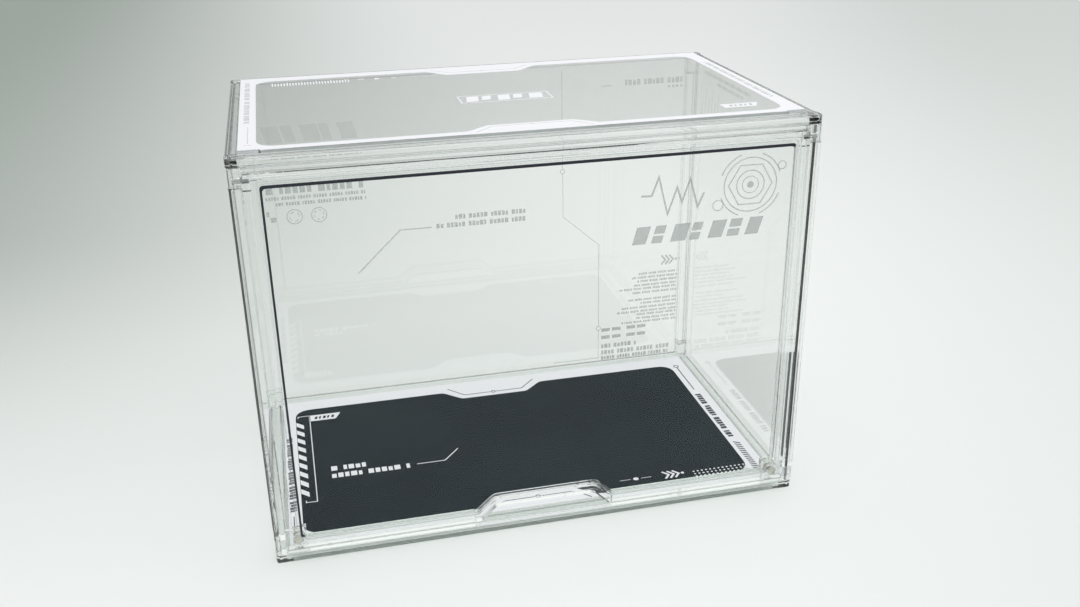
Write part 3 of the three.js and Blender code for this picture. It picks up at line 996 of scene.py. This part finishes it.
@dataclass
class BackPrint(Print):
    """Grey print on the back wall: title and icons, a long leader, a note block and size marks."""

    def build(self) -> None:
        """Prints the back wall."""
        faint = Artwork()
        for index, width in enumerate((12.0, 8.0, 13.0, 7.0, 12.0)):
            left = -160.0 + index * 14.0
            faint.block(left, 219.0, left + width, 232.0, -3.5)
        self.apply("back_faint_heading", faint, self.finishes.faint_ink, "grey_ink")
        art = Artwork()
        self._heading(art)
        self._leader(art)
        self._notes(art)
        self._size_marks(art)
        self.apply("back_print", art, self.finishes.back_ink, "grey_ink")

    @staticmethod
    def _heading(art: Artwork) -> None:
        """A title, two lines of small print and two round icons."""
        art.words(-164.8, -89.0, 181.0, 6.8, 2)
        art.words(-165.5, -89.8, 176.2, 2.7, 5)
        art.words(-158.4, -89.4, 171.4, 2.7, 1)
        for x, spokes in ((-145.2, 4), (-126.5, 6)):
            art.ring(x, 162.0, 5.8, 0.7)
            for index in range(spokes):
                start = index * 360 / spokes
                art.line(arc((x, 162.0), 3.7, start, start + 200 / spokes, 5), 0.6)
        art.block(-166.0, 163.4, -164.0, 167.4)
        art.block(-163.4, 158.8, -159.2, 162.6)

    @staticmethod
    def _leader(art: Artwork) -> None:
        """A thin line down the wall, with a ring on it and a step to the right."""
        art.line([(68.7, 260.0), (68.7, 182.3)], 0.45)
        art.ring(68.8, 180.4, 1.8, 0.5)
        art.line([(68.9, 178.4), (69.1, 141.8), (99.8, 114.4), (100.0, 39.4)], 0.45)
        art.ring(100.0, 37.4, 1.8, 0.5)
        art.line([(100.0, 35.4), (100.0, 9.0), (60.0, 9.0)], 0.45)

    def _notes(self, art: Artwork) -> None:
        """A mark and two paragraphs of small print, ranged right."""
        self.chevrons(art, 162.2, 95.0, 8.4)
        starts = (135.7, 129.4, 134.3, 131.4, 118.5, 130.4)
        starts += (126.5, 137.8, 121.0, 116.5, 134.6, 134.0, 120.8)
        lines = (84.3, 80.8, 77.4, 73.8, 70.6, 67.0) + (60.4, 57.0, 53.2, 49.6, 46.6, 43.0, 39.6)
        for index, (start, middle) in enumerate(zip(starts, lines)):
            art.words(start, 169.8, middle - 0.95, 1.9, index)
        art.words(120.4, 169.2, 245.2, 4.4, 3)
        for index in range(4):
            art.block(156.6 + index * 3.4, 241.4, 158.4 + index * 3.4, 243.2)
            art.block(101.0 + index * 2.4, 245.2, 102.2 + index * 2.4, 246.4)

    @staticmethod
    def _size_marks(art: Artwork) -> None:
        """Four double bars, over three lines of print."""
        for left in (102.6, 112.2, 125.4, 135.0):
            for low in (26.8, 33.8):
                art.block(left, low, left + 7.8, low + 3.0)
        art.words(102.7, 134.5, 17.9, 4.0, 1)
        art.words(102.7, 164.7, 11.8, 4.0, 3)
        art.words(102.7, 164.1, 6.9, 3.2, 0)


@dataclass
class RightWallPrint(Print):
    """Faint print along the top of the right wall."""

    def build(self) -> None:
        """Prints the right wall."""
        art = Artwork()
        art.words(-5.0, 84.0, 256.4, 2.6, 2)
        art.words(8.0, 56.0, 251.8, 2.6, 4)
        for index in range(6):
            y = 52.0 + index * 6.2
            foot, tip = 205.0 + (index % 3) * 6.0, 246.0 - (index % 2) * 7.0
            art.line([(y, foot), (y + 2.4, 224.0), (y, tip)], 0.5)
        self.apply("right_wall_print", art, self.finishes.pale_ink, "grey_ink")


@dataclass(frozen=True)
class PaintedDarkRefraction:
    """Painted dark refraction where the door's pane meets its frame: a dark line standing in for the
    dark surroundings seen in the pane's edge, strongest along the top and the left.
    """

    name: str = "pane_painted_dark_refraction"
    colour: Colour = (0.006, 0.008, 0.02)

    def build(self, window: tuple[float, float, float, float]) -> bpy.types.Material:
        """The finish as a material.

        Args:
            window: the opening's left, low, right and high edges in metres.

        Returns:
            The material.
        """
        left, low, right, high = window
        material, shader = new_material(self.name)
        x, _, z = shader.parts(shader.place())
        # Painted dark refraction: the cover is strongest along the top and the left, faint on the right
        # and rising upward, and faint all round.
        top = shader.rise(z, high - 3.0 * MM, high - 2.4 * MM)
        near = shader.rise(x, left + 2.4 * MM, left + 1.8 * MM) * 0.95
        upward = shader.rise(z, low, high)
        far = shader.rise(x, right - 2.4 * MM, right - 1.8 * MM) * (0.05 + 0.3 * upward)
        uneven = shader.rise(shader.noise(24.0, 2.0), 0.2, 0.55)
        cover = top.larger(near).larger(far).larger(0.06) * (0.88 + 0.12 * uneven)
        thin = tuple(channel * 2.0 for channel in self.colour)
        line = shader.node(
            "ShaderNodeBsdfPrincipled",
            None,
            {
                "Base Color": shader.blend(uneven, thin, self.colour),
                "Roughness": 0.3 + 0.1 * uneven,
                "Alpha": cover,
            },
        )
        shader.node("ShaderNodeOutputMaterial", None, {"Surface": line.outputs[0]})
        return material


@dataclass
class PanePaintedDarkRefraction:
    """A thin strip of painted dark refraction round the door's pane, inside the frame's opening."""

    grip: float = 1.65
    pull_foot: float = 47.3
    pull_top: float = 35.4
    pull_height: float = 27.9
    widths: tuple[float, float, float, float] = (1.35, 0.7, 0.7, 2.2)

    def outline(self, left: float, low: float, right: float, high: float, sides: Colour) -> Loop:
        """The opening moved in at its left, right and low sides, its lower edge going over the pull."""
        at_left, at_right, at_low = sides
        return rounded(
            [
                (left + at_left, low + at_low, 2.4),
                (-self.pull_foot - at_low * 0.5, low + at_low, 1.5),
                (-self.pull_top, self.pull_height + at_low, 3.0),
                (self.pull_top, self.pull_height + at_low, 3.0),
                (self.pull_foot + at_low * 0.5, low + at_low, 1.5),
                (right - at_right, low + at_low, 2.4),
                (right - at_right, high, 2.4),
                (left + at_left, high, 2.4),
            ]
        )

    def build(self) -> None:
        """Makes the line and puts it on the pane."""
        low, high = (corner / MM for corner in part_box("door_window"))
        left, bottom = low.x + self.grip, low.z + self.grip
        right, top = high.x - self.grip, high.z - self.grip
        at_left, at_right, at_low, at_top = self.widths
        art = Artwork()
        art.area(
            self.outline(left, bottom, right, top, (0.0, 0.0, 0.0)),
            self.outline(left, bottom, right, top - at_top, (at_left, at_right, at_low)),
        )
        window = (left * MM, bottom * MM, right * MM, top * MM)
        piece = art.cut("pane_painted_dark_refraction", Wall.DOOR.face().lifted(0.03 * MM), 0.2 * MM, PaintedDarkRefraction().build(window))
        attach(piece, "door")


# ------------------------------------------------------------------ studio


@dataclass
class Studio:
    """Pale floor with painted shade, soft light from above, and the camera."""

    floor_radius: float = 50.0
    floor_drop: float = 0.2 * MM
    paper: Colour = (0.857, 0.86, 0.862)
    paper_painted_shade: Colour = (0.355, 0.39, 0.36)
    sky: Colour = (0.97, 1.0, 0.985)
    sky_low: float = 0.69
    sky_overhead: float = 1.02
    lamp_size: Point = (1.4, 0.9)
    lamp_place: Colour = (0.35, -0.1, 1.5)
    lamp_tilt: float = math.radians(10.0)
    lamp_power: float = 6.4
    camera_place: Vector = field(default_factory=lambda: Vector((-0.1446, -0.7191, 0.4354)))
    camera_aim: Vector = field(default_factory=lambda: Vector((-0.0025, -0.1105, 0.1641)))
    camera_roll: float = math.radians(-0.845)
    lens: float = 36.55

    def build(self) -> None:
        """Makes the floor, the surroundings, the lamp and the camera."""
        self._floor()
        self._surroundings()
        self._lamp()
        self._camera()
        scene = bpy.context.scene
        scene.view_settings.view_transform = "Standard"
        scene.view_settings.look = "None"
        scene.cycles.max_bounces = 64
        scene.cycles.transmission_bounces = 64
        scene.cycles.glossy_bounces = 8
        scene.cycles.diffuse_bounces = 3
        scene.cycles.transparent_max_bounces = 40

    def _floor(self) -> None:
        """A wide pale floor with painted shade: darker far to the left, and a little to the right."""
        mesh = bpy.data.meshes.new("studio_floor")
        work = bmesh.new()
        bmesh.ops.create_circle(work, cap_ends=True, segments=96, radius=self.floor_radius)
        work.to_mesh(mesh)
        work.free()
        floor = bpy.data.objects.new("studio_floor", mesh)
        floor.location.z = -self.floor_drop
        bpy.context.scene.collection.objects.link(floor)
        material, shader = new_material("studio_paper")
        x, y, _ = shader.parts(shader.place())
        # Painted shade: these masks darken the floor's colour far to the left and back, and a little to
        # the right and front.
        left = shader.rise(0.35 - x, 0.0, 1.15) * shader.rise(y, -0.25, 0.65)
        right = shader.rise(x - y * 0.45, 0.0, 0.75)
        shade = left + right * 0.3
        paper = shader.node(
            "ShaderNodeBsdfPrincipled",
            None,
            {
                "Base Color": shader.blend(shade, self.paper, self.paper_painted_shade),
                "Roughness": 0.85 + shader.noise(60.0) * 0.05,
            },
        )
        shader.node("ShaderNodeOutputMaterial", None, {"Surface": paper.outputs[0]})
        mesh.materials.append(material)

    def _surroundings(self) -> None:
        """A pale horizon with a dark band over it, a broad light overhead, and a dark room in front."""
        world = bpy.data.worlds.new("studio")
        bpy.context.scene.world = world
        world.use_nodes = True
        shader = Shader(world.node_tree)
        direction = shader.node("ShaderNodeTexCoord").outputs["Generated"]
        x, y, z = shader.parts(direction)
        overhead = shader.rise(z, 0.36, 0.55)
        front = shader.rise(y, 0.1, -0.5)
        band = shader.rise(z, 0.12, 0.2) * (1 - overhead)
        left = shader.rise(x, 0.35, -0.1)
        low = self.sky_low - band * (0.12 + 0.2 * left)
        dark = low * (1 - front * 0.55)
        level = dark * (1 - overhead) + overhead * self.sky_overhead
        ground = shader.node(
            "ShaderNodeBackground", None, {"Color": (*self.sky, 1.0), "Strength": level}
        )
        shader.node("ShaderNodeOutputWorld", None, {"Surface": ground.outputs[0]})

    def _lamp(self) -> None:
        """Hangs one broad soft lamp over the right shoulder, unseen through the clear pieces."""
        lamp = bpy.data.lights.new("soft_box", "AREA")
        lamp.shape = "RECTANGLE"
        lamp.size, lamp.size_y = self.lamp_size
        lamp.energy = self.lamp_power
        holder = bpy.data.objects.new("soft_box", lamp)
        holder.location = self.lamp_place
        holder.rotation_euler = (0.0, self.lamp_tilt, 0.0)
        holder.visible_transmission = False
        bpy.context.scene.collection.objects.link(holder)

    def _camera(self) -> None:
        """A camera in front, above and a little to the left, looking down at the box."""
        lens = bpy.data.cameras.new("camera")
        lens.lens, lens.sensor_width = self.lens, 36.0
        lens.clip_start, lens.clip_end = 0.02, 60.0
        camera = bpy.data.objects.new("camera", lens)
        look = (self.camera_aim - self.camera_place).to_track_quat("-Z", "Y").to_matrix().to_4x4()
        roll = Matrix.Rotation(self.camera_roll, 4, "Z")
        camera.matrix_world = Matrix.Translation(self.camera_place) @ look @ roll
        bpy.context.scene.collection.objects.link(camera)
        bpy.context.scene.camera = camera


def main() -> None:
    """Builds the box's looks and the studio, and notes the sizes."""
    logging.basicConfig(level=logging.INFO, format="%(message)s")
    finishes = Finishes()
    Cabinet(finishes).dress()
    Door(finishes).dress()
    RoofPrint(finishes, Wall.ROOF, "cabinet").build()
    FloorPrint(finishes, Wall.FLOOR, "cabinet").build()
    BackPrint(finishes, Wall.BACK, "cabinet").build()
    RightWallPrint(finishes, Wall.RIGHT, "cabinet").build()
    DoorPrint(finishes, Wall.DOOR, "door").build()
    PanePaintedDarkRefraction().build()
    Studio().build()


if __name__ == "__main__":
    main()
